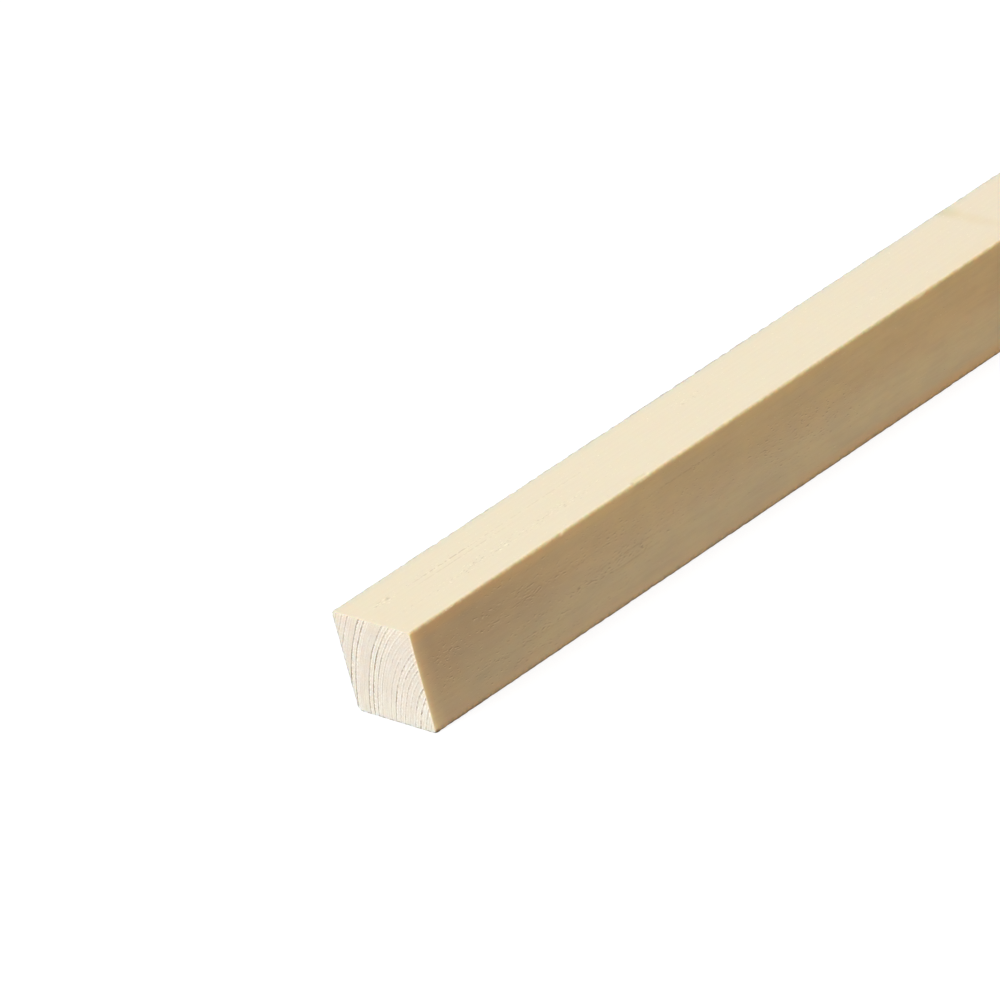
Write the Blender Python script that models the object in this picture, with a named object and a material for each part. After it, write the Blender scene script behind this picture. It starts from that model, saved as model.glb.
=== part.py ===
"""Square wood batten: one length of planed softwood, lying along Y with its underside on Z = 0.

The origin is the middle of the underside, halfway along the length.
"""

from math import radians

import bmesh
import bpy
from mathutils import Matrix

# Driving dimensions, in metres
SECTION_WIDTH = 0.034  # planed width, across X
SECTION_HEIGHT = 0.034  # planed height, up Z
STOCK_LENGTH = 1.000  # from sawn end to sawn end, along Y
ARRIS_RADIUS = 0.0005  # how far the planer eases the four long edges

# Facets round each eased edge, and the angle past which an edge is shown sharp
ARRIS_FACETS = 5
SHARP_EDGE_ANGLE = radians(40)

# Finish of the bare planed wood
WOOD_COLOUR = (0.80, 0.67, 0.47, 1.0)
WOOD_ROUGHNESS = 0.65
WOOD_METALLIC = 0.0


def clear_scene():
    for old_object in list(bpy.data.objects):
        bpy.data.objects.remove(old_object, do_unlink=True)


def bare_softwood():
    material = bpy.data.materials.new("bare_softwood")
    material.use_nodes = True
    finish = material.node_tree.nodes["Principled BSDF"]
    finish.inputs["Base Color"].default_value = WOOD_COLOUR
    finish.inputs["Roughness"].default_value = WOOD_ROUGHNESS
    finish.inputs["Metallic"].default_value = WOOD_METALLIC
    material.diffuse_color = WOOD_COLOUR
    return material


def sawn_end(bar):
    """The square section as one face, standing upright at the near end of the stock."""
    upright = Matrix.Rotation(radians(90), 4, "X")
    cut_to_size = Matrix.Diagonal((SECTION_WIDTH, 1.0, SECTION_HEIGHT, 1.0))
    on_the_floor = Matrix.Translation((0.0, -STOCK_LENGTH / 2, SECTION_HEIGHT / 2))
    bmesh.ops.create_grid(
        bar,
        x_segments=1,
        y_segments=1,
        size=0.5,
        matrix=on_the_floor @ cut_to_size @ upright,
    )
    return list(bar.faces)


def draw_out(bar, end_faces):
    """Extrudes the near end's face to the stock's full length."""
    drawn = bmesh.ops.extrude_face_region(bar, geom=end_faces, use_keep_orig=True)
    far_corners = [item for item in drawn["geom"] if isinstance(item, bmesh.types.BMVert)]
    bmesh.ops.translate(bar, verts=far_corners, vec=(0.0, STOCK_LENGTH, 0.0))
    bmesh.ops.recalc_face_normals(bar, faces=bar.faces)


def runs_along_the_stock(edge):
    start, end = (corner.co for corner in edge.verts)
    return abs(end.y - start.y) > STOCK_LENGTH / 2


def ease_arrises(bar):
    """Rounds the four long edges. The edges of the sawn ends stay as the saw left them."""
    arrises = [edge for edge in bar.edges if runs_along_the_stock(edge)]
    bmesh.ops.bevel(
        bar,
        geom=arrises,
        affect="EDGES",
        offset_type="OFFSET",
        offset=ARRIS_RADIUS,
        segments=ARRIS_FACETS,
        profile=0.5,
        material=-1,
        clamp_overlap=True,
    )


def make_batten():
    bar = bmesh.new()
    draw_out(bar, sawn_end(bar))
    ease_arrises(bar)

    mesh = bpy.data.meshes.new("batten")
    bar.to_mesh(mesh)
    bar.free()
    mesh.shade_smooth()
    mesh.set_sharp_from_angle(angle=SHARP_EDGE_ANGLE)
    mesh.materials.append(bare_softwood())

    batten = bpy.data.objects.new("batten", mesh)
    bpy.context.scene.collection.objects.link(batten)

    # Keeps the four planed faces shading flat right up to their eased edges
    flat_faces = batten.modifiers.new("flat_faces", "WEIGHTED_NORMAL")
    flat_faces.keep_sharp = True
    return batten


clear_scene()
make_batten()
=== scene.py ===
from math import copysign, pi, radians, sqrt

import bmesh
import bpy
from mathutils import Euler, Matrix, Vector, noise


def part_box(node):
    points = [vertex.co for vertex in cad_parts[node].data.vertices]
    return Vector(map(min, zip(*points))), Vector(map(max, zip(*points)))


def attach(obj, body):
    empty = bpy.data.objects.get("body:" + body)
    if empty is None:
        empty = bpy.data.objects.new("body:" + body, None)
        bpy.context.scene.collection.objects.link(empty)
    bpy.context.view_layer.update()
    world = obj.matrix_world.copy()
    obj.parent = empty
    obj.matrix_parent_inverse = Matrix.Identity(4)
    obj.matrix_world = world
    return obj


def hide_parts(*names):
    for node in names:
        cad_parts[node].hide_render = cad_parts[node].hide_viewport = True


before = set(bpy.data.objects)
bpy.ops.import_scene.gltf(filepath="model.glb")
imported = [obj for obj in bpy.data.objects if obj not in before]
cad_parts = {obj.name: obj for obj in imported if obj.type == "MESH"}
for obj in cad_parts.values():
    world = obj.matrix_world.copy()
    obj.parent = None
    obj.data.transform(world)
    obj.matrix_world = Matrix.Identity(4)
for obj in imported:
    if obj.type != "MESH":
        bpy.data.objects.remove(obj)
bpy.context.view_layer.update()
scene = bpy.context.scene
low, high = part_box("batten")
side = high.x - low.x  # the square section's side
middle = (low + high) / 2
mm = 1000.0  # millimetres in a metre
tiny = 1e-6  # metres; points nearer than this are taken as one
print("frame loaded, batten", [round(v * mm, 1) for v in high - low], "mm")


# camera: looks down along the batten from its near right, leaning a little to the left

cameraSet = {
    "place": (1.61953, -1.67595, 1.03733),
    "azimuth": 52.709,  # degrees round from the near end towards the right side
    "elevation": 26.001,
    "lean": 14.849,  # turned about the line of sight
    "lens": 277.55,
    "sensor": 36.0,
    "clip": (0.1, 50.0),
}


def makeCamera(s):
    data = bpy.data.cameras.new("camera")
    data.lens = s["lens"]
    data.sensor_width = s["sensor"]
    data.clip_start, data.clip_end = s["clip"]
    camera = bpy.data.objects.new("camera", data)
    scene.collection.objects.link(camera)
    level = Euler((radians(90 - s["elevation"]), 0.0, radians(s["azimuth"])), "XYZ").to_matrix()
    turned = level @ Matrix.Rotation(radians(-s["lean"]), 3, "Z")
    camera.matrix_world = Matrix.Translation(s["place"]) @ turned.to_4x4()
    scene.camera = camera


makeCamera(cameraSet)
print("camera made")


# small helpers for building node trees

def addNode(tree, kind, **settings):
    node = tree.nodes.new(kind)
    for name, value in settings.items():
        setattr(node, name, value)
    return node


def plug(tree, socket, value):
    if isinstance(value, bpy.types.NodeSocket):
        tree.links.new(value, socket)
    else:
        socket.default_value = value


def doMath(tree, operation, *values, clamp=False):
    node = addNode(tree, "ShaderNodeMath", operation=operation, use_clamp=clamp)
    for socket, value in zip(node.inputs, values):
        plug(tree, socket, value)
    return node.outputs[0]


def times(tree, value, *factors, clamp=False):
    for factor in factors[:-1]:
        value = doMath(tree, "MULTIPLY", value, factor)
    return doMath(tree, "MULTIPLY", value, factors[-1], clamp=clamp)


def remap(tree, value, fromLow, fromHigh, toLow=0.0, toHigh=1.0):
    node = addNode(tree, "ShaderNodeMapRange", interpolation_type="SMOOTHSTEP")
    for socket, given in zip(node.inputs, (value, fromLow, fromHigh, toLow, toHigh)):
        plug(tree, socket, given)
    return node.outputs[0]


def fadeOut(tree, value, reach, full=1.0):
    # full up to the first reach, and nothing past the second
    return remap(tree, value, *reach, full, 0.0)


def blend(tree, amount, first, second, how="MIX"):
    # mixes colours, or multiplies the first by the second as far as the amount says; the
    # node's colours go in at its sockets 6 and 7 and come out at 2
    node = addNode(tree, "ShaderNodeMix", data_type="RGBA", blend_type=how)
    plug(tree, node.inputs["Factor"], amount)
    for socket, colour in ((node.inputs[6], first), (node.inputs[7], second)):
        isSocket = isinstance(colour, bpy.types.NodeSocket)
        plug(tree, socket, colour if isSocket else (*colour, 1.0))
    return node.outputs[2]


noShift = (0.0, 0.0, 0.0)


def stretched(tree, place, scale, shift=noShift):
    node = addNode(tree, "ShaderNodeMapping")
    plug(tree, node.inputs["Vector"], place)
    node.inputs["Location"].default_value = shift
    node.inputs["Scale"].default_value = scale
    return node.outputs[0]


def speckle(tree, place, fineness, shift, detail, roughness):
    # noise with so many grains per mm each way
    node = addNode(tree, "ShaderNodeTexNoise")
    plug(tree, node.inputs["Vector"], stretched(tree, place, fineness, shift))
    node.inputs["Scale"].default_value = 1.0
    node.inputs["Detail"].default_value = detail
    node.inputs["Roughness"].default_value = roughness
    return node.outputs[0]


def grains(tree, place, s, name):
    return speckle(tree, place, *s["noises"][name])


def mark(tree, value, s, name, toLow=0.0, toHigh=1.0):
    # fades in between the two levels that the settings give this mark
    return remap(tree, value, *s["levels"][name], toLow, toHigh)


def distance(tree, place):
    node = addNode(tree, "ShaderNodeVectorMath", operation="LENGTH")
    tree.links.new(place, node.inputs[0])
    return node.outputs["Value"]


def splitUp(tree, place):
    # across, along and up
    node = addNode(tree, "ShaderNodeSeparateXYZ")
    tree.links.new(place, node.inputs[0])
    return node.outputs["X"], node.outputs["Y"], node.outputs["Z"]


patchFade = (0.2, 1.0)  # shares of a patch's reach at which it starts to fade and is gone


def patch(tree, place, centre, reach, amount=1.0):
    # the amount at the centre, fading to nothing at the reach each way, in mm
    scale = [1 / r for r in reach]
    shift = [-c / r for c, r in zip(centre, reach)]
    return fadeOut(tree, distance(tree, stretched(tree, place, scale, shift)), patchFade, amount)


def patches(tree, place, rows):
    total = 0.0
    for centre, reach, amount in rows:
        total = doMath(tree, "ADD", total, patch(tree, place, centre, reach, amount))
    return total


def toned(tree, place, colour, rows):
    for centre, reach, shade in rows:
        colour = blend(tree, patch(tree, place, centre, reach), colour, shade, "MULTIPLY")
    return colour


glowColour = (1.0, 0.55, 0.25)  # light travels a little way through the wood, red furthest


def addGlow(finish, weight, reach):
    finish.inputs["Subsurface Weight"].default_value = weight
    finish.inputs["Subsurface Radius"].default_value = glowColour
    finish.inputs["Subsurface Scale"].default_value = reach


def addRelief(tree, finish, height, depth):
    bump = addNode(tree, "ShaderNodeBump")
    bump.inputs["Strength"].default_value = 1.0
    bump.inputs["Distance"].default_value = depth
    plug(tree, bump.inputs["Height"], height)
    plug(tree, finish.inputs["Normal"], bump.outputs[0])


# wood: one solid pattern of growth rings runs through the whole stick, so the lines on the
# sawn ends and on the planed faces belong to the same rings; all places are in mm, across and
# up from the middle of the underside and along from the near end; a noise is given as its
# grains per mm across, along and up, its shift, detail and roughness

ringSet = {
    "pith": (35.0, -13.1),  # across and up
    "oval": 0.79,  # the rings are flatter across than up
    "innermost": 19.55,  # from the pith to the first ring that the stick holds
    "spacing": 1.88,
    "drift": (0.45, 44.0, 26.0),  # rings crowd and part: by how much, over how far, from where
    # how dark each ring's winter line is, from the pith outwards
    "darkness": (0.35, 0.35, 0.65, 1.0, 0.75, 0.3, 0.45, 0.5, 0.7, 0.4, 0.3, 0.35,
                 0.6, 0.85, 0.7, 0.15, 0.1, 0.8, 1.0, 0.15, 0.5, 0.45, 0.3, 0.4),
    "wander": 0.20,  # how far a ring strays over a few millimetres
    "jitter": 0.20,  # fine unevenness
    "noises": {
        "wander": ((0.12, 0.003, 0.12), noShift, 1.0, 0.5),
        "jitter": ((0.9, 0.02, 0.9), (7.0, 0.0, 3.0), 4.0, 0.6),
    },
    "lineEnd": 0.97,  # share of a ring at which its winter line ends
    "lineFull": 0.35,  # where the line is full, as a share of its width before that end
    "lineStop": (0.94, 1.0),  # shares of a ring over which it stops
}


def woodPlace(tree):
    coordinate = addNode(tree, "ShaderNodeTexCoord").outputs["Object"]
    return stretched(tree, coordinate, (mm, mm, mm), (0.0, -low.y * mm, -low.z * mm))


def growthRings(tree, place, s=ringSet):
    # how far across its ring each place is, how dark that ring's line is, and the radius
    pithX, pithZ = s["pith"]
    fromPith = stretched(tree, place, (1.0, 0.0, s["oval"]), (-pithX, 0.0, -pithZ * s["oval"]))
    radius = distance(tree, fromPith)
    amount, period, start = s["drift"]
    turn = 2 * pi / period
    swing = doMath(tree, "SINE", doMath(tree, "MULTIPLY_ADD", radius, turn, -turn * start))
    strayed = doMath(tree, "MULTIPLY_ADD", swing, -amount, radius)
    for name in ("wander", "jitter"):
        strays = grains(tree, place, s, name)
        strayed = doMath(tree, "MULTIPLY_ADD", strays, 2 * s[name], strayed)
    start = s["innermost"] + s["wander"] + s["jitter"]
    rings = doMath(tree, "DIVIDE", doMath(tree, "SUBTRACT", strayed, start), s["spacing"])

    count = len(s["darkness"])
    ramp = addNode(tree, "ShaderNodeValToRGB")
    ramp.color_ramp.interpolation = "CONSTANT"
    stops = ramp.color_ramp.elements
    while len(stops) < count:
        stops.new(1.0)
    for index, dark in enumerate(s["darkness"]):
        stops[index].position = index / count
        stops[index].color = (dark, dark, dark, 1.0)
    plug(tree, ramp.inputs[0], doMath(tree, "DIVIDE", rings, count))
    return doMath(tree, "FRACT", rings), ramp.outputs[0], strayed


def winterLine(tree, across, width, s=ringSet):
    # darkens over the last part of a ring and stops sharply where the next spring's wood starts
    start = doMath(tree, "SUBTRACT", s["lineEnd"], width)
    full = doMath(tree, "MULTIPLY_ADD", width, -s["lineFull"], s["lineEnd"])
    return times(tree, remap(tree, across, start, full), fadeOut(tree, across, s["lineStop"]))


def ringStreaks(tree, place, radius, fineness, run, shift):
    # thin streaks that keep to the rings, 1 / fineness mm wide and about run mm long
    x, y, z = splitUp(tree, place)
    joined = addNode(tree, "ShaderNodeCombineXYZ")
    plug(tree, joined.inputs["X"], doMath(tree, "MULTIPLY_ADD", radius, fineness, shift))
    plug(tree, joined.inputs["Y"], doMath(tree, "DIVIDE", doMath(tree, "ADD", x, z), run))
    plug(tree, joined.inputs["Z"], doMath(tree, "DIVIDE", y, 4.0 * run))
    return speckle(tree, joined.outputs[0], (1.0, 1.0, 1.0), noShift, 1.0, 0.5)


# planed faces; where an entry has two numbers by face, they are for the top and for the sides

planedSet = {
    "spring": (0.800, 0.696, 0.504),
    "winter": (0.400, 0.270, 0.120),
    "faceBlend": 0.15,  # how far round an arris one face's finish passes into the next
    "ringTone": 0.020,  # broad tone of each ring, from spring to winter wood
    "toneSpan": (0.1, 0.95),  # shares of a ring over which it comes in
    "fibre": (0.62, 0.48, 0.30),
    "fibreDepth": (0.018, 0.18),  # by face
    "longShare": 0.25,  # share of long fibres among the short ones
    "cloud": ((0.972, 0.972, 0.990), (1.030, 1.025, 1.005)),  # cool and warm clouding of the sides
    "lineWidth": (0.34, 0.22),  # share of a ring, by face
    "lineDepth": (0.42, 0.50),  # by face
    "lineDashes": (0.25, 1.0),  # how dark a line is in its gaps and in its dashes
    "lineShows": (  # the places where winter lines show, their reach, and how clearly
        ((-5.6, 38.0, 34.0), (2.2, 24.0, 8.0), 1.0),
        ((-2.6, 42.0, 34.0), (1.8, 28.0, 8.0), 0.55),
        ((-5.4, 76.0, 34.0), (2.4, 36.0, 8.0), 0.32),
        ((17.0, 84.0, 14.5), (8.0, 20.0, 3.5), 0.9),
        ((17.0, 116.0, 27.0), (8.0, 26.0, 3.0), 0.7),
        ((17.0, 45.0, 22.0), (8.0, 50.0, 5.0), 0.4),
        ((17.0, 45.0, 8.0), (8.0, 40.0, 4.0), 0.3),
    ),
    "lineStrays": (0.02, 0.20),  # how clearly lines show elsewhere, by face
    "paleGaps": (0.50, 0.15),  # pale wood beside a line on the top, at its gaps and at its dashes
    "paleSpan": (0.30, 0.55),  # shares of a ring over which that wood comes in
    "tick": (0.25, 0.14, 0.03),  # short dark pores and torn fibres
    "tickDepth": (0.30, 0.46),  # by face
    "tickCrowds": (  # where they lie thickest: rows along the grain, and a looser scatter
        ((17.0, 46.0, 21.5), (6.0, 56.0, 2.0), 0.08),
        ((17.0, 36.0, 25.0), (6.0, 28.0, 2.2), 0.07),
        ((17.0, 66.0, 14.0), (6.0, 46.0, 1.8), 0.08),
        ((17.0, 40.0, 9.5), (6.0, 36.0, 1.8), 0.07),
        ((17.0, 44.0, 4.6), (6.0, 36.0, 1.6), 0.06),
        ((17.0, 116.0, 27.0), (6.0, 28.0, 1.6), 0.08),
        ((17.0, 38.0, 30.5), (6.0, 24.0, 1.6), 0.06),
        ((17.0, 52.0, 16.0), (9.0, 96.0, 28.0), 0.09),
        ((17.0, 9.0, 18.0), (6.0, 11.0, 14.0), 0.06),
        ((17.0, 98.0, 21.0), (6.0, 44.0, 14.0), 0.045),
        ((17.0, 158.0, 17.0), (9.0, 50.0, 16.0), 0.09),
        ((17.0, 190.0, 16.0), (9.0, 110.0, 20.0), 0.03),
        ((5.0, 52.0, 34.0), (4.0, 70.0, 6.0), 0.15),
        ((-5.0, 11.0, 34.0), (3.0, 9.0, 6.0), 0.14),
        ((-6.0, 30.0, 34.0), (4.0, 40.0, 6.0), 0.07),
        ((-6.0, 142.0, 34.0), (2.5, 16.0, 6.0), 0.09),
        ((-6.0, 194.0, 34.0), (2.5, 12.0, 6.0), 0.09),
        ((4.0, 215.0, 34.0), (2.5, 20.0, 6.0), 0.09),
    ),
    "tickSwerve": 1.8,  # how far the rows bend off the grain
    "tickClusters": (0.60, 1.02),  # how thick the rows are between clusters and in them
    # pale specks and pale wood, also the painted highlight under each tick
    "speck": (0.960, 0.855, 0.650),
    "speckDepth": 0.80,
    "sideLightAndShade": (  # broad painted light and shade on the right face: place, reach and colour to multiply by
        ((17.0, 0.0, 25.0), (9.0, 88.0, 34.0), (0.86, 0.84, 0.85)),
        ((17.0, 8.0, 17.0), (9.0, 10.0, 40.0), (1.02, 0.99, 0.97)),
        ((17.0, 290.0, 8.0), (9.0, 190.0, 26.0), (1.055, 1.045, 1.0)),
        ((17.0, 200.0, 27.0), (9.0, 300.0, 14.0), (1.01, 0.975, 0.87)),
        ((17.0, 290.0, 22.0), (9.0, 130.0, 20.0), (0.99, 0.965, 0.93)),
        ((17.0, 135.0, 25.0), (9.0, 60.0, 9.0), (0.975, 0.985, 1.0)),
        ((17.0, 150.0, 9.0), (9.0, 600.0, 10.0), (1.005, 1.04, 1.025)),
        ((17.0, 150.0, 4.0), (9.0, 320.0, 13.0), (1.0, 1.008, 1.04)),
        ((17.0, 200.0, 0.0), (9.0, 2000.0, 5.0), (1.085, 1.05, 1.03)),
        ((17.0, 270.0, 1.5), (9.0, 170.0, 3.2), (1.0, 0.91, 0.85)),
        ((17.0, 0.0, 32.3), (9.0, 110.0, 4.0), (1.08, 1.02, 0.98)),
        ((17.0, 200.0, 32.0), (9.0, 2000.0, 3.2), (1.0, 1.0, 0.92)),
        # painted light along the near end's edge, where light comes through it
        ((17.0, 0.0, 17.0), (9.0, 6.5, 60.0), (1.16, 1.16, 1.10)),
        ((17.0, 0.0, 17.0), (9.0, 3.0, 60.0), (1.10, 1.08, 1.06)),
        ((17.0, 0.0, 17.0), (9.0, 1.8, 60.0), (1.03, 1.09, 1.17)),
        # painted contact shadow at the lower corner, and along the foot behind it
        ((17.0, 0.6, 0.2), (4.0, 2.2, 1.3), (0.32, 0.34, 0.29)),
        ((17.0, 15.0, 0.0), (4.0, 16.0, 1.2), (0.72, 0.72, 0.70)),
    ),
    "topShades": (
        ((0.0, 300.0, 34.0), (60.0, 160.0, 8.0), (0.99, 0.98, 0.99)),
        ((17.0, 280.0, 34.0), (9.0, 110.0, 8.0), (1.0, 0.98, 0.95)),
        ((-17.0, 200.0, 34.0), (5.0, 900.0, 8.0), (0.94, 0.99, 1.03)),
        ((0.0, 0.0, 34.0), (60.0, 2.4, 60.0), (0.965, 0.985, 1.02)),
        # a faint band across
        ((-16.0, 265.5, 34.0), (9.5, 5.0, 8.0), (0.93, 0.945, 0.85)),
        ((-3.0, 265.0, 34.0), (22.0, 3.8, 8.0), (0.98, 0.96, 0.905)),
        # along the two arrises: a thin dark line by the left, and a painted highlight by the right
        ((-17.0, 145.0, 34.0), (1.6, 66.0, 3.0), (0.76, 0.72, 0.79)),
        ((16.3, 200.0, 34.0), (1.3, 2000.0, 2.0), (1.03, 1.02, 1.01)),
        # painted shade round the torn sliver's hollow and at its dark root, and its pale bed
        ((15.9, 97.2, 34.0), (2.0, 4.6, 2.0), (0.93, 0.95, 0.80)),
        ((16.3, 97.8, 34.0), (1.4, 3.2, 2.0), (1.14, 1.12, 1.10)),
        ((16.1, 94.0, 34.0), (1.0, 1.1, 2.0), (0.87, 0.80, 0.74)),
    ),
    "arrisReach": (0.9, 1.9),  # how far the painted light reaches from the right arris, by face
    "arrisRagged": 2.0,  # and how unevenly
    "arrisHues": (  # olive and amber painted light, by face
        ((1.02, 1.07, 0.96), (1.09, 1.03, 1.00)),
        ((0.98, 1.10, 1.09), (1.03, 1.05, 1.04)),
    ),
    "arrisGlints": ((0.96, 0.95, 0.94), (1.08, 1.07, 1.06)),  # painted shade and highlights in beads along it
    "beadReach": (0.4, 1.6),
    "leftLine": (0.70, 0.71, 0.78),  # thin broken line along the top's left arris
    "leftReach": (0.65, 1.30),
    "leftVaries": (0.3, 0.9),  # how faint and how strong it gets
    "footShade": (0.34, 0.27, 0.20),  # painted shade along the right foot
    "footReach": (0.24, 0.60),
    "footRagged": 0.8,
    "footUnder": 0.8,  # the painted shade reaches further on the underside, by 1 / this
    "footBeads": ((0.84, 0.85, 0.88), (1.15, 1.05, 0.98)),  # and mottling just above it
    "mottleReach": (0.8, 1.9),
    "noises": {
        "longFibres": ((0.8, 0.012, 0.8), noShift, 4.0, 0.6),
        "shortFibres": ((0.8, 0.10, 0.8), (2.0, 5.0, 1.0), 3.0, 0.6),
        "clouds": ((0.15, 0.09, 0.15), (4.0, 1.0, 7.0), 3.0, 0.5),
        "strays": ((0.10, 0.014, 0.10), (1.0, 2.0, 6.0), 2.0, 0.5),
        "dashes": ((0.9, 0.80, 0.9), (3.0, 8.0, 5.0), 3.0, 0.5),
        "swerve": ((0.0, 0.05, 0.0), noShift, 2.0, 0.5),
        "clusters": ((0.28, 0.12, 0.28), (6.0, 2.0, 3.0), 1.0, 0.5),
        "ticks": ((2.0, 0.60, 2.0), (11.0, 4.0, 2.0), 3.0, 0.6),
        "tickGlints": ((2.0, 0.60, 2.0), (11.0, 4.0, 2.7), 3.0, 0.6),  # the ticks again, lower down, for the painted highlight under each
        "specks": ((2.4, 0.9, 2.4), (5.0, 9.0, 4.0), 1.0, 0.5),
        "uneven": ((0.0, 0.40, 0.0), (0.0, 3.0, 0.0), 3.0, 0.7),
        "hue": ((0.0, 0.32, 0.0), noShift, 3.0, 0.5),
        "beads": ((0.6, 0.6, 0.6), (2.0, 7.0, 4.0), 4.0, 0.7),
    },
    "levels": {  # the noise levels between which each mark fades in or out
        "fibres": (0.38, 0.72),
        "clouds": (0.32, 0.68),
        "strays": (0.50, 0.75),
        "paleGaps": (0.40, 0.52),
        "dashes": (0.42, 0.56),
        "clusters": (0.42, 0.58),
        "ticks": (0.67, 0.80),
        "specks": (0.72, 0.80),
        "hue": (0.42, 0.58),
        "beads": (0.42, 0.60),
        "roughness": (0.3, 0.7),
    },
    "roughness": (0.50, 0.62),
    "relief": 0.00003,  # depth in metres of the marks
    "reliefShares": (0.6, 0.3),  # how much of it the ticks and the lines take
    "glow": 0.5,
    "glowReach": 0.003,
}


def byFace(tree, onTop, amounts):
    # an amount that differs between the top and the other long faces
    return doMath(tree, "MULTIPLY_ADD", onTop, amounts[0] - amounts[1], amounts[1])


def planedFinish(s):
    material = bpy.data.materials.new("planedGrain")
    material.use_nodes = True
    tree = material.node_tree
    finish = tree.nodes["Principled BSDF"]
    place = woodPlace(tree)
    ringShare, strength = growthRings(tree, place)[:2]

    # how far in from the right, the left and the top each place is, and which face it is on
    half = side * mm / 2
    x, _, z = splitUp(tree, place)
    inFromRight = doMath(tree, "SUBTRACT", half, x)
    inFromLeft = doMath(tree, "ADD", half, x)
    inFromTop = doMath(tree, "SUBTRACT", 2 * half, z)
    inFromSide = doMath(tree, "MINIMUM", inFromRight, inFromLeft)
    topward = doMath(tree, "SUBTRACT", inFromSide, inFromTop)
    onTop = remap(tree, topward, -s["faceBlend"], s["faceBlend"])

    # spring and winter wood, fibres, clouding, and broad tones, on the right face with painted
    # light and shade
    tone = times(tree, remap(tree, ringShare, *s["toneSpan"]), s["ringTone"])
    colour = blend(tree, tone, s["spring"], s["winter"])
    shortFibres = times(tree, grains(tree, place, s, "shortFibres"), 1 - s["longShare"])
    longFibres = grains(tree, place, s, "longFibres")
    fibres = doMath(tree, "MULTIPLY_ADD", longFibres, s["longShare"], shortFibres)
    fibreDepth = times(tree, mark(tree, fibres, s, "fibres"), byFace(tree, onTop, s["fibreDepth"]))
    colour = blend(tree, fibreDepth, colour, s["fibre"])
    clouds = mark(tree, grains(tree, place, s, "clouds"), s, "clouds")
    clouded = blend(tree, 1.0, colour, blend(tree, clouds, *s["cloud"]), "MULTIPLY")
    # the right face takes its painted light and shade here
    sideColour = toned(tree, place, clouded, s["sideLightAndShade"])
    colour = blend(tree, onTop, sideColour, toned(tree, place, colour, s["topShades"]))

    # winter lines come and go along the grain and break into dashes, on the top with pale wood
    # beside them
    strays = mark(tree, grains(tree, place, s, "strays"), s, "strays")
    strays = times(tree, strays, byFace(tree, onTop, s["lineStrays"]))
    shows = doMath(tree, "ADD", patches(tree, place, s["lineShows"]), strays)
    dashes = grains(tree, place, s, "dashes")
    gaps = mark(tree, dashes, s, "paleGaps", *s["paleGaps"])
    beside = times(tree, remap(tree, ringShare, *s["paleSpan"]), gaps)
    showsPale = times(tree, shows, strength, onTop, clamp=True)
    colour = blend(tree, times(tree, showsPale, beside), colour, s["speck"])
    line = winterLine(tree, ringShare, byFace(tree, onTop, s["lineWidth"]))
    dashed = mark(tree, dashes, s, "dashes", *s["lineDashes"])
    line = times(tree, line, strength, dashed, shows, clamp=True)
    lineDepth = times(tree, line, byFace(tree, onTop, s["lineDepth"]))
    colour = blend(tree, lineDepth, colour, s["winter"])

    # dark ticks in clusters along the grain, each with a painted highlight just under it, and pale
    # specks
    swerve = doMath(tree, "MULTIPLY_ADD", grains(tree, place, s, "swerve"), 2.0, -1.0)
    offRow = addNode(tree, "ShaderNodeCombineXYZ")
    plug(tree, offRow.inputs["Z"], times(tree, swerve, s["tickSwerve"]))
    swerved = addNode(tree, "ShaderNodeVectorMath", operation="ADD")
    plug(tree, swerved.inputs[0], place)
    plug(tree, swerved.inputs[1], offRow.outputs[0])
    crowd = patches(tree, swerved.outputs[0], s["tickCrowds"])
    clusters = grains(tree, place, s, "clusters")
    crowd = times(tree, crowd, mark(tree, clusters, s, "clusters", *s["tickClusters"]))
    ticks = doMath(tree, "ADD", grains(tree, place, s, "ticks"), crowd)
    ticks = mark(tree, ticks, s, "ticks")
    tickGlints = doMath(tree, "ADD", grains(tree, place, s, "tickGlints"), crowd)
    tickGlints = mark(tree, tickGlints, s, "ticks")
    specks = mark(tree, grains(tree, place, s, "specks"), s, "specks")
    # the pale specks together with the painted highlights under the ticks
    specks = times(tree, doMath(tree, "MAXIMUM", tickGlints, specks), s["speckDepth"])
    colour = blend(tree, specks, colour, s["speck"])
    tickDepth = times(tree, ticks, byFace(tree, onTop, s["tickDepth"]))
    colour = blend(tree, tickDepth, colour, s["tick"])

    # painted light along the arris between the top and the right face, olive in places and amber
    # in others, with beads of painted shade and highlight along it
    uneven = grains(tree, place, s, "uneven")
    fromArris = doMath(tree, "MAXIMUM", inFromRight, inFromTop)
    evened = doMath(tree, "SUBTRACT", fromArris, s["arrisRagged"] / 2)
    ragged = doMath(tree, "MULTIPLY_ADD", uneven, s["arrisRagged"], evened)
    arrisLight = fadeOut(tree, ragged, (0.0, byFace(tree, onTop, s["arrisReach"])))
    hue = mark(tree, grains(tree, place, s, "hue"), s, "hue")
    topHue, sideHue = [blend(tree, hue, *hues) for hues in s["arrisHues"]]
    colour = blend(tree, arrisLight, colour, blend(tree, onTop, sideHue, topHue), "MULTIPLY")
    beads = mark(tree, grains(tree, place, s, "beads"), s, "beads")
    onArris = fadeOut(tree, fromArris, s["beadReach"])
    colour = blend(tree, onArris, colour, blend(tree, beads, *s["arrisGlints"]), "MULTIPLY")

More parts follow.
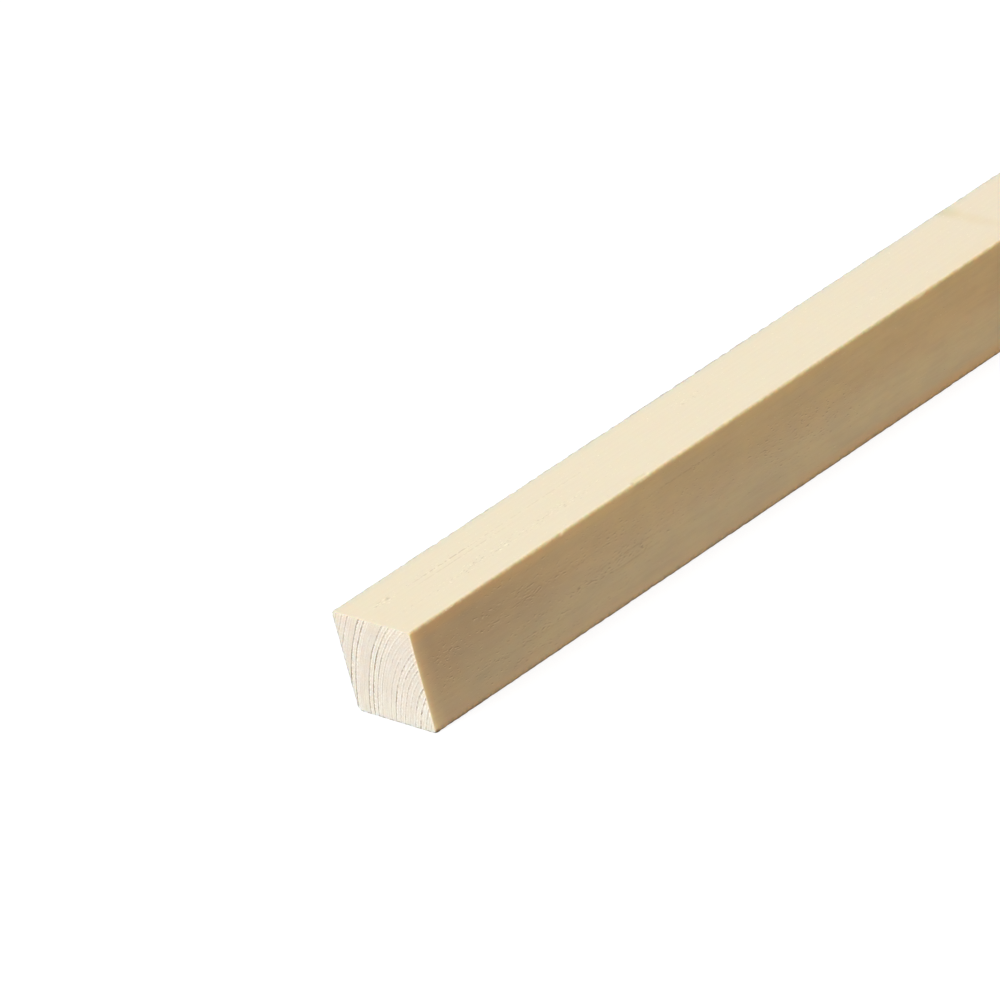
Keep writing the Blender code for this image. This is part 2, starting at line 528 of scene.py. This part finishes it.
    # a thin broken line follows the top's left arris, and painted shade the right foot
    edging = fadeOut(tree, inFromLeft, s["leftReach"])
    edging = times(tree, edging, remap(tree, hue, 0.0, 1.0, *s["leftVaries"]), onTop)
    colour = blend(tree, edging, colour, s["leftLine"], "MULTIPLY")
    foot = doMath(tree, "MAXIMUM", z, times(tree, inFromRight, s["footUnder"]))
    evened = doMath(tree, "SUBTRACT", foot, s["footRagged"] / 2)
    foot = doMath(tree, "MULTIPLY_ADD", uneven, s["footRagged"], evened)
    mottled = fadeOut(tree, foot, s["mottleReach"])
    colour = blend(tree, mottled, colour, blend(tree, beads, *s["footBeads"]), "MULTIPLY")
    footShadow = fadeOut(tree, foot, s["footReach"])
    colour = blend(tree, footShadow, colour, s["footShade"], "MULTIPLY")

    plug(tree, finish.inputs["Base Color"], colour)
    plug(tree, finish.inputs["Roughness"], mark(tree, fibres, s, "roughness", *s["roughness"]))
    addGlow(finish, s["glow"], s["glowReach"])
    tickShare, lineShare = s["reliefShares"]
    relief = doMath(tree, "MULTIPLY_ADD", ticks, -tickShare, times(tree, line, -lineShare))
    addRelief(tree, finish, relief, s["relief"])
    return material


sawnSet = {
    "spring": (0.843, 0.754, 0.638),
    # pale wood, also the colour of the painted highlights beside the lines
    "pale": (1.0, 0.945, 0.855),
    "winter": (0.270, 0.175, 0.090),
    "lineWidth": (0.22, 0.33),  # share of a ring, on a faint and on a strong line
    "lineTeeth": (0.75, 1.25),  # how narrow and how wide its teeth make it
    "lineDepth": 0.90,
    "lineVaries": (0.55, 1.15),  # each line swells and fades along its way by this much
    "lineFades": ((11.5, 0.0, 30.5), (8.5, 9.0, 9.0), 0.55),  # and all of them towards this place
    # how much of a line is left in its gaps, from faint to strong lines and from left to right
    "holdByStrength": (0.2, 1.0, 0.30, 0.85),
    "holdByPlace": (-2.0, 9.0, 0.9, 0.0),
    "glintByStrength": (0.0, 0.8),  # from no painted highlight to most, by how dark its line is
    "besideSpan": (0.04, 0.32),  # shares of a ring over which the painted highlight before a line fades
    "besideEdge": 0.02,  # how softly it meets the line
    "afterSpan": (0.0, 0.28),  # and the painted highlight after it
    "afterDepth": 0.9,
    "glintBeads": (0.45, 1.6),  # how weak and how strong the highlights' beads are
    "streakShape": (1.7, 9.0, 5.0),  # fineness across the rings, length, and shift
    "streakDepth": (0.042, 0.30),  # dark and pale streaks
    "stipple": (0.14, 0.46),  # fine dark and pale grains
    "cloud": ((0.985, 1.0, 1.005), (1.012, 1.0, 0.985)),  # cool and warm clouding
    "shades": (  # broad tones and a painted highlight: place, reach and colour to multiply by, on the near end
        ((0.0, 0.0, 34.0), (60.0, 9.0, 6.0), (1.03, 1.02, 0.985)),
        ((0.0, 0.0, 0.0), (60.0, 9.0, 14.0), (1.0, 1.025, 1.025)),
        # painted highlight along the right edge
        ((17.2, 0.0, 17.0), (1.5, 9.0, 90.0), (1.14, 1.09, 1.02)),
    ),
    "footRise": 0.15,  # the rubbed lower edge stands this far up
    "fur": (0.70, 0.72, 0.71),  # pale furry band along the left and lower edges
    "furDepth": 0.30,
    "furReach": (0.4, 1.5),
    "edgeShade": (0.34, 0.28, 0.21),  # thin broken painted shade on those edges
    "edgeShadeDepth": 0.85,
    "edgeShadeReach": (0.25, 0.60),
    "noises": {
        "teeth": ((1.8, 0.1, 1.2), (1.0, 0.0, 5.0), 2.0, 0.5),
        "broken": ((0.95, 0.05, 0.60), (2.0, 0.0, 9.0), 3.0, 0.5),
        "swell": ((0.22, 0.02, 0.16), (6.0, 0.0, 2.0), 2.0, 0.5),
        "beads": ((1.9, 0.1, 1.3), (9.0, 0.0, 2.0), 2.0, 0.5),
        "grit": ((2.4, 0.1, 1.6), (3.0, 0.0, 4.0), 3.0, 0.7),
        "clouds": ((0.25, 0.1, 0.25), (4.0, 0.0, 7.0), 2.0, 0.5),
        "shadeDashes": ((0.6, 0.1, 0.6), (8.0, 0.0, 1.0), 2.0, 0.5),
    },
    "levels": {  # the noise levels between which each mark fades in or out
        "teeth": (0.35, 0.65),
        "broken": (0.40, 0.58),
        "swell": (0.35, 0.65),
        "beads": (0.40, 0.60),
        "darkGrains": (0.35, 0.75),
        "paleGrains": (0.30, 0.48),
        "darkStreaks": (0.35, 0.60),
        "paleStreaks": (0.50, 0.75),
        "clouds": (0.35, 0.65),
        "shadeDashes": (0.42, 0.58),
    },
    "roughness": 0.8,
    "relief": 0.00012,
    "reliefShares": (0.5, 0.5),  # how much of it the lines and the grit take
    "glow": 0.4,
    "glowReach": 0.002,
}


def sawnFinish(s):
    material = bpy.data.materials.new("sawnEndGrain")
    material.use_nodes = True
    tree = material.node_tree
    finish = tree.nodes["Principled BSDF"]
    place = woodPlace(tree)
    x, _, z = splitUp(tree, place)
    ringShare, strength, radius = growthRings(tree, place)

    # strong lines run on, faint ones and those to the right break into dashes; all of them are
    # toothed, and swell and fade along their way
    teeth = mark(tree, grains(tree, place, s, "teeth"), s, "teeth", *s["lineTeeth"])
    width = times(tree, remap(tree, strength, 0.0, 1.0, *s["lineWidth"]), teeth)
    hold = doMath(tree, "MINIMUM", remap(tree, strength, *s["holdByStrength"]),
                  remap(tree, x, *s["holdByPlace"]))
    runs = mark(tree, grains(tree, place, s, "broken"), s, "broken", hold, 1.0)
    swell = mark(tree, grains(tree, place, s, "swell"), s, "swell", *s["lineVaries"])
    kept = doMath(tree, "SUBTRACT", 1.0, patch(tree, place, *s["lineFades"]))
    line = times(tree, strength, runs, winterLine(tree, ringShare, width))
    line = times(tree, line, times(tree, swell, kept))

    # painted highlights lie beside the strong lines, and the palest wood in streaks between them
    lineStart = doMath(tree, "SUBTRACT", ringSet["lineEnd"], width)
    inner = doMath(tree, "SUBTRACT", lineStart, ringShare)
    beside = times(tree, fadeOut(tree, inner, s["besideSpan"]),
                   remap(tree, inner, -s["besideEdge"], s["besideEdge"]))
    glintStrength = remap(tree, strength, *s["glintByStrength"])
    beside = times(tree, beside, glintStrength, runs)
    after = times(tree, fadeOut(tree, ringShare, s["afterSpan"], s["afterDepth"]), glintStrength)
    beads = mark(tree, grains(tree, place, s, "beads"), s, "beads", *s["glintBeads"])
    pale = times(tree, doMath(tree, "ADD", beside, after), beads, clamp=True)

    # grit, streaks and clouding
    grit = grains(tree, place, s, "grit")
    darkest, palest = s["stipple"]
    darkGrains = mark(tree, grit, s, "darkGrains", 0.0, darkest)
    colour = blend(tree, darkGrains, s["spring"], s["winter"])
    colour = blend(tree, mark(tree, grit, s, "paleGrains", palest, 0.0), colour, s["pale"])
    streaks = ringStreaks(tree, place, radius, *s["streakShape"])
    darkest, palest = s["streakDepth"]
    darkStreaks = mark(tree, streaks, s, "darkStreaks", darkest, 0.0)
    colour = blend(tree, darkStreaks, colour, s["winter"])
    colour = blend(tree, mark(tree, streaks, s, "paleStreaks", 0.0, palest), colour, s["pale"])
    # the painted highlights beside the strong lines
    colour = blend(tree, pale, colour, s["pale"])
    lineDepth = times(tree, line, s["lineDepth"], clamp=True)
    colour = blend(tree, lineDepth, colour, s["winter"])
    clouds = mark(tree, grains(tree, place, s, "clouds"), s, "clouds")
    clouded = blend(tree, 1.0, colour, blend(tree, clouds, *s["cloud"]), "MULTIPLY")
    colour = toned(tree, place, clouded, s["shades"])

    # fibres stand up pale along the left and lower edges, with a thin line of painted shade here
    # and there
    inFromLeft = doMath(tree, "ADD", x, side * mm / 2)
    inFromFoot = doMath(tree, "SUBTRACT", z, s["footRise"])
    fromEdge = doMath(tree, "MINIMUM", inFromLeft, inFromFoot)
    fur = times(tree, fadeOut(tree, fromEdge, s["furReach"]), s["furDepth"])
    colour = blend(tree, fur, colour, s["fur"])
    shadeDashes = mark(tree, grains(tree, place, s, "shadeDashes"), s, "shadeDashes", 0.0, s["edgeShadeDepth"])
    edgeShaded = times(tree, fadeOut(tree, fromEdge, s["edgeShadeReach"]), shadeDashes)
    colour = blend(tree, edgeShaded, colour, s["edgeShade"])

    plug(tree, finish.inputs["Base Color"], colour)
    finish.inputs["Roughness"].default_value = s["roughness"]
    addGlow(finish, s["glow"], s["glowReach"])
    lineShare, gritShare = s["reliefShares"]
    relief = doMath(tree, "MULTIPLY_ADD", line, lineShare, times(tree, grit, gritShare))
    addRelief(tree, finish, relief, s["relief"])
    return material


# the batten: a square bar drawn out along the grain, its long edges eased by the planer and
# worn a little since, its ends left by the saw; every change goes inwards from the bar's faces;
# lengths are in metres, and edges are named by their side, 1 right or up and -1 left or down

battenSet = {
    "arrisRadius": 0.0005,
    "arrisFacets": 5,
    "sharpAngle": 40.0,  # degrees past which an edge is shown sharp
    # cell lines, in from each long face
    "cellLines": (0.0007, 0.0010, 0.0014, 0.0018, 0.0022, 0.0026, 0.0032, 0.0050, 0.0080, 0.0120),
    # length and rows of cells of each stretch; finest at the ends and at the torn places
    "stretches": ((0.004, 16), (0.056, 90), (0.006, 18), (0.026, 40), (0.010, 30), (0.114, 150),
                  (0.006, 18), (0.084, 84), (0.690, 138), (0.004, 8)),
    "endStep": 0.00035,  # spacing of points round the rim of each end
    "roll": 0.00015,  # how far the right and left faces roll in towards their arrises
    "rollReach": 0.0020,
    "rollSkin": 0.0003,  # only points this near the face roll
    "rim": 0.00007,  # how far the rim of each sawn end is rubbed back
    "rimReach": 0.0006,
    "footRub": 0.00025,  # and how far its lower edge is rubbed up
    # how unevenly each long edge is worn
    "wear": {(1, 1): 0.00020, (-1, 1): 0.00030, (-1, -1): 0.00015, (1, -1): 0.00016},
    "wearReach": 0.0016,
    "wearLengths": (0.014, 0.0022),  # of its slow and of its fine changes along the edge
    "wearShares": (0.35, 0.45, 1.3),  # steady, slow and fine wear
    "nicks": (  # place along, edge, half length, depth
        (0.0632, (1, 1), 0.0016, 0.00035),
        (0.2190, (1, 1), 0.0018, 0.00035),
        (0.1430, (-1, 1), 0.0024, 0.00022),
        (0.4100, (1, -1), 0.0150, 0.00040),
        (0.7300, (-1, 1), 0.0200, 0.00050),
    ),
    "tear": {
        "start": 0.0943,
        "length": 0.0062,
        "width": 0.0021,
        "depth": 0.00020,
        "shallow": 0.4,  # share of the depth where it starts
        "lip": 0.0004,  # how far its edge slopes
        "skin": 0.0006,  # only points this near the top are lowered
    },
    # corners knocked off, by end and edge: how far along each edge from the corner
    "chips": {(-1, -1, -1): 0.0016, (-1, -1, 1): 0.0006, (-1, 1, -1): 0.0010,
              (1, 1, 1): 0.0007, (1, -1, -1): 0.0009},
    "chipSlant": 0.6,  # a chip reaches further along the grain than across, by 1 / this
    "chipDepth": 2.2,  # and presses the wood in by its leg / this
    "chipBack": 0.35,  # and along the grain by this share of that
    "fray": 0.00022,
    "frayReach": 0.0006,
    "frayLengths": (0.0011, 0.0004),  # coarse and fine tufts
    "frayShares": (0.35, 0.5),  # steady and fine fraying beside the coarse
    "frayElsewhere": 0.45,  # share of the fraying on edges other than the lower one
}


def runAlong(edge):
    return abs(edge.verts[0].co.y - edge.verts[1].co.y)


def isSawn(face):
    return abs(face.normal.y) > 0.7  # it faces along the grain


def drawBar(s):
    bar = bmesh.new()
    upright = Matrix.Rotation(radians(90), 4, "X")
    size = Matrix.Diagonal((side, 1.0, high.z - low.z, 1.0))
    place = Matrix.Translation((middle.x, low.y, middle.z))
    bmesh.ops.create_grid(bar, x_segments=1, y_segments=1, size=0.5, matrix=place @ size @ upright)
    drawn = bmesh.ops.extrude_face_region(bar, geom=bar.faces[:], use_keep_orig=True)
    farEnd = [item for item in drawn["geom"] if isinstance(item, bmesh.types.BMVert)]
    bmesh.ops.translate(bar, verts=farEnd, vec=(0.0, high.y - low.y, 0.0))
    bmesh.ops.recalc_face_normals(bar, faces=bar.faces)
    arrises = [edge for edge in bar.edges if runAlong(edge) > side]
    bmesh.ops.bevel(bar, geom=arrises, affect="EDGES", offset_type="OFFSET",
                    offset=s["arrisRadius"], segments=s["arrisFacets"], profile=0.5,
                    material=-1, clamp_overlap=True)
    return bar


def cutAcross(bar, axis, place):
    point = middle.copy()
    point[axis] = place
    normal = Vector((0.0, 0.0, 0.0))
    normal[axis] = 1.0
    bmesh.ops.bisect_plane(bar, geom=bar.verts[:] + bar.edges[:] + bar.faces[:], dist=tiny,
                           plane_co=point, plane_no=normal)


def addCells(bar, s):
    for inwards in s["cellLines"]:
        for axis in (0, 2):
            cutAcross(bar, axis, low[axis] + inwards)
            cutAcross(bar, axis, high[axis] - inwards)
    start = low.y
    for reach, _ in s["stretches"][:-1]:
        start += reach
        cutAcross(bar, 1, start)
    start = low.y
    for reach, rows in s["stretches"]:
        first, last = start - tiny, start + reach + tiny
        inStretch = [edge for edge in bar.edges if abs(runAlong(edge) - reach) < tiny
                     and all(first < vert.co.y < last for vert in edge.verts)]
        bmesh.ops.subdivide_edges(bar, edges=inStretch, cuts=rows - 1, use_grid_fill=True)
        start += reach


def addRimPoints(bar, s):
    rim = {}
    for edge in bar.edges:
        if len([face for face in edge.link_faces if isSawn(face)]) == 1:
            rim.setdefault(int(edge.calc_length() / s["endStep"]), []).append(edge)
    for cuts, edges in rim.items():
        if cuts > 0:
            bmesh.ops.subdivide_edges(bar, edges=edges, cuts=cuts)


def whereIs(vert):
    # off the middle across and up, in from the nearest faces, and in from the nearer end
    x, z = vert.co.x - middle.x, vert.co.z - middle.z
    fromEnd = min(vert.co.y - low.y, high.y - vert.co.y)
    return x, z, side / 2 - abs(x), side / 2 - abs(z), fromEnd


def rubEdges(bar, s):
    # the right and left faces roll in towards their arrises, and the sawn rims are rubbed back
    for vert in bar.verts:
        x, z, inX, inZ, fromEnd = whereIs(vert)
        if inX < s["rollSkin"] and inZ < s["rollReach"]:
            vert.co.x -= copysign(s["roll"] * (1 - inZ / s["rollReach"]) ** 2, x)
        if fromEnd < s["rimReach"] and inX < s["rimReach"]:
            rubbed = s["rim"] * (1 - fromEnd / s["rimReach"]) * (1 - inX / s["rimReach"])
            vert.co.x -= copysign(rubbed, x)
            vert.co.y += copysign(rubbed, middle.y - vert.co.y)
        if fromEnd < s["rimReach"] and z < 0 and inZ < s["rimReach"]:
            share = (1 - fromEnd / s["rimReach"]) * (1 - inZ / s["rimReach"])
            vert.co.z += s["footRub"] * share


def wearArrises(bar, s):
    slowLength, fineLength = s["wearLengths"]
    steadyShare, slowShare, fineShare = s["wearShares"]
    for vert in bar.verts:
        x, z, inX, inZ, _ = whereIs(vert)
        right, up = int(copysign(1, x)), int(copysign(1, z))
        fromArris = max(inX, inZ) / s["wearReach"]
        if fromArris >= 1:
            continue
        along = vert.co.y - low.y
        seed = 10 * right + 3 * up
        slow = noise.noise((along / slowLength, seed, 0.0))
        fine = noise.noise((along / fineLength, seed, 5.0))
        worn = max(0.0, steadyShare + slowShare * slow + fineShare * fine)
        worn = s["wear"][right, up] * worn
        for start, edge, half, depth in s["nicks"]:
            near = abs(along - start) / half
            if edge == (right, up) and near < 1:
                worn += depth * (1 - near * near) ** 2
        worn *= (1 - fromArris) ** 2
        vert.co.x -= right * worn
        vert.co.z -= up * worn


def tearFibres(bar, s):
    # a sliver torn out of the top beside its right edge, deepest where it breaks off
    for vert in bar.verts:
        along = (vert.co.y - low.y - s["start"]) / s["length"]
        if high.z - vert.co.z < s["skin"] and 0 < along < 1:
            reach = s["width"] * sqrt(along) - (high.x - vert.co.x)
            inside = min(1.0, max(0.0, reach / s["lip"]))
            vert.co.z -= s["depth"] * inside * (s["shallow"] + (1 - s["shallow"]) * along)


def knockCorners(bar, s):
    for (end, right, up), leg in s["chips"].items():
        corner = middle + Vector((right * side / 2, 0.0, up * side / 2))
        corner.y = high.y if end > 0 else low.y
        for vert in bar.verts:
            away = corner - vert.co
            share = (away.x * right + away.y * end * s["chipSlant"] + away.z * up) / leg
            if share < 1:
                push = (1 - share) * leg / s["chipDepth"]
                vert.co -= Vector((right * push, end * push * s["chipBack"], up * push))


def frayEnds(bar, s):
    reach = s["frayReach"]
    coarseLength, fineLength = s["frayLengths"]
    steadyShare, fineShare = s["frayShares"]
    for vert in bar.verts:
        x, z, inX, inZ, fromEnd = whereIs(vert)
        if fromEnd >= reach or min(inX, inZ) >= reach:
            continue
        coarse = noise.noise(vert.co / coarseLength)
        fine = noise.noise(vert.co / fineLength)
        rough = max(0.0, steadyShare + coarse + fineShare * fine)
        under = 1.0 if z < 0 and inZ < inX else s["frayElsewhere"]
        amount = s["fray"] * under * rough
        amount = amount * (1 - fromEnd / reach) * (1 - min(inX, inZ) / reach)
        if inX < inZ:
            vert.co.x -= copysign(amount, x)
        else:
            vert.co.z -= copysign(amount, z)


def makeBatten(s):
    bar = drawBar(s)
    addCells(bar, s)
    addRimPoints(bar, s)
    for face in bar.faces:
        face.material_index = 1 if isSawn(face) else 0
        face.smooth = True
    rubEdges(bar, s)
    wearArrises(bar, s)
    tearFibres(bar, s["tear"])
    knockCorners(bar, s)
    frayEnds(bar, s)
    mesh = bpy.data.meshes.new("squareBatten")
    bar.to_mesh(mesh)
    bar.free()
    mesh.set_sharp_from_angle(angle=radians(s["sharpAngle"]))
    mesh.materials.append(planedFinish(planedSet))
    mesh.materials.append(sawnFinish(sawnSet))
    batten = bpy.data.objects.new("squareBatten", mesh)
    scene.collection.objects.link(batten)
    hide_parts("batten")
    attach(batten, "root")
    print("batten:", len(mesh.polygons), "faces")


makeBatten(battenSet)


# studio: white floor, soft key from the near left, warm fill on the right side

studioSet = {
    "floorSize": 30.0,
    "floorGap": 0.00005,  # the floor lies this little below the batten
    "floorBounce": (0.20, 0.18, 0.15),  # what the floor gives back to the wood
    "floorShown": 0.19,  # how much of the shadow the camera sees on the floor
    "floorWhite": 0.85,
    "skyStrength": 0.08,
    "skyShown": 1.0,  # white behind the batten, for the camera alone
    "lamps": {
        "key": {"from": (-0.10, -0.66, 0.74), "spread": 36.0, "strength": 3.84,
                "colour": (0.952, 1.0, 1.055)},
        "fill": {"from": (1.0, -0.35, 0.25), "spread": 60.0, "strength": 1.46,
                 "colour": (1.0, 0.772, 0.545)},
        "back": {"from": (-0.71, 0.55, 0.43), "spread": 60.0, "strength": 0.5,
                 "colour": (1.0, 1.0, 1.0)},
    },
}


def softLamp(name, s):
    data = bpy.data.lights.new(name, "SUN")
    data.angle = radians(s["spread"])
    data.energy = s["strength"]
    data.color = s["colour"]
    lamp = bpy.data.objects.new(name, data)
    scene.collection.objects.link(lamp)
    lamp.rotation_euler = Vector(s["from"]).to_track_quat("Z", "Y").to_euler()


def showToCamera(tree, shown, unseen, surface):
    # the camera sees the one shader, and light meets the other
    ray = addNode(tree, "ShaderNodeLightPath")
    choose = addNode(tree, "ShaderNodeMixShader")
    tree.links.new(ray.outputs["Is Camera Ray"], choose.inputs[0])
    tree.links.new(unseen.outputs[0], choose.inputs[1])
    tree.links.new(shown.outputs[0], choose.inputs[2])
    tree.links.new(choose.outputs[0], surface)


def floorFinish(s):
    material = bpy.data.materials.new("paleFloor")
    material.use_nodes = True
    tree = material.node_tree
    tree.nodes.clear()
    bounce = addNode(tree, "ShaderNodeBsdfDiffuse")
    bounce.inputs["Color"].default_value = (*s["floorBounce"], 1.0)
    shaded = addNode(tree, "ShaderNodeBsdfDiffuse")
    shaded.inputs["Color"].default_value = (s["floorShown"],) * 3 + (1.0,)
    paper = addNode(tree, "ShaderNodeEmission")
    paper.inputs["Strength"].default_value = s["floorWhite"]
    both = addNode(tree, "ShaderNodeAddShader")
    tree.links.new(shaded.outputs[0], both.inputs[0])
    tree.links.new(paper.outputs[0], both.inputs[1])
    out = addNode(tree, "ShaderNodeOutputMaterial")
    showToCamera(tree, both, bounce, out.inputs["Surface"])
    return material


def makeFloor(s):
    sheet = bmesh.new()
    bmesh.ops.create_grid(sheet, x_segments=1, y_segments=1, size=s["floorSize"] / 2)
    bmesh.ops.translate(sheet, verts=sheet.verts, vec=(0.0, 0.0, low.z - s["floorGap"]))
    mesh = bpy.data.meshes.new("floor")
    sheet.to_mesh(mesh)
    sheet.free()
    mesh.materials.append(floorFinish(s))
    floor = bpy.data.objects.new("floor", mesh)
    scene.collection.objects.link(floor)


def makeSky(s):
    world = bpy.data.worlds.new("studioSky")
    scene.world = world
    world.use_nodes = True
    tree = world.node_tree
    light = tree.nodes["Background"]
    shown = addNode(tree, "ShaderNodeBackground")
    for background, strength in ((light, s["skyStrength"]), (shown, s["skyShown"])):
        background.inputs["Color"].default_value = (1.0, 1.0, 1.0, 1.0)
        background.inputs["Strength"].default_value = strength
    showToCamera(tree, shown, light, tree.nodes["World Output"].inputs["Surface"])


makeFloor(studioSet)
makeSky(studioSet)
for lampName, lampSet in studioSet["lamps"].items():
    softLamp(lampName, lampSet)
scene.view_settings.view_transform = "Standard"
print("studio lit")
